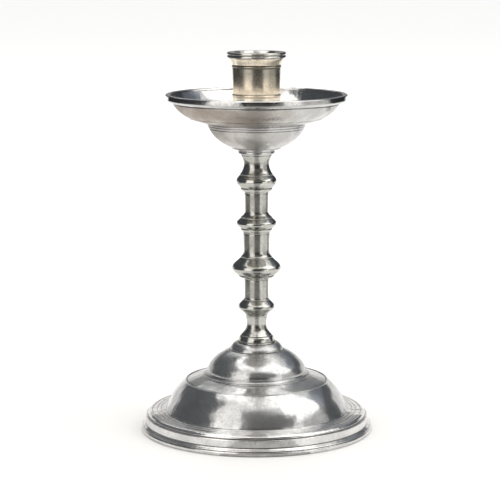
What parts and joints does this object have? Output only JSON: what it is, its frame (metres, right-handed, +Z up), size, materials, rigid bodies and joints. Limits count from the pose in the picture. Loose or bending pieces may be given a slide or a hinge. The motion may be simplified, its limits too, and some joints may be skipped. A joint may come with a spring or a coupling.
{
  "type": "candlestick",
  "caption": "Turned pewter candlestick with a spreading domed base, a knopped stem, a wide drip pan and a lift-out candle socket.",
  "frame": {"origin": "on the table under the middle of the base", "axes": "+Z up along the axis of the stem, +X to the right in the picture, +Y away from the viewer"},
  "size_m": [0.1292, 0.1292, 0.2104],
  "materials": {
    "pewter": "satin polished pewter",
    "warm_pewter": "satin pewter, warm toned",
    "steel": "plain"
  },
  "bodies": {
    "stick": {"foot_ring": "pewter", "base_dome": "pewter", "base_cap": "pewter", "stem_foot": "pewter", "stem_lower": "pewter", "stem_main_knop": "pewter", "stem_middle": "pewter", "stem_upper": "pewter", "pan_bowl": "pewter", "drip_pan": "pewter", "tie_rod": "steel", "tie_rod_washer": "steel", "tie_rod_nut": "steel"},
    "socket": {"candle_socket": "warm_pewter"}
  },
  "joints": [
    {"name": "socket_lift", "type": "slide", "parent": "stick", "child": "socket", "axis": [0, 0, 1], "range_m": [0, 0.03]}
  ]
}
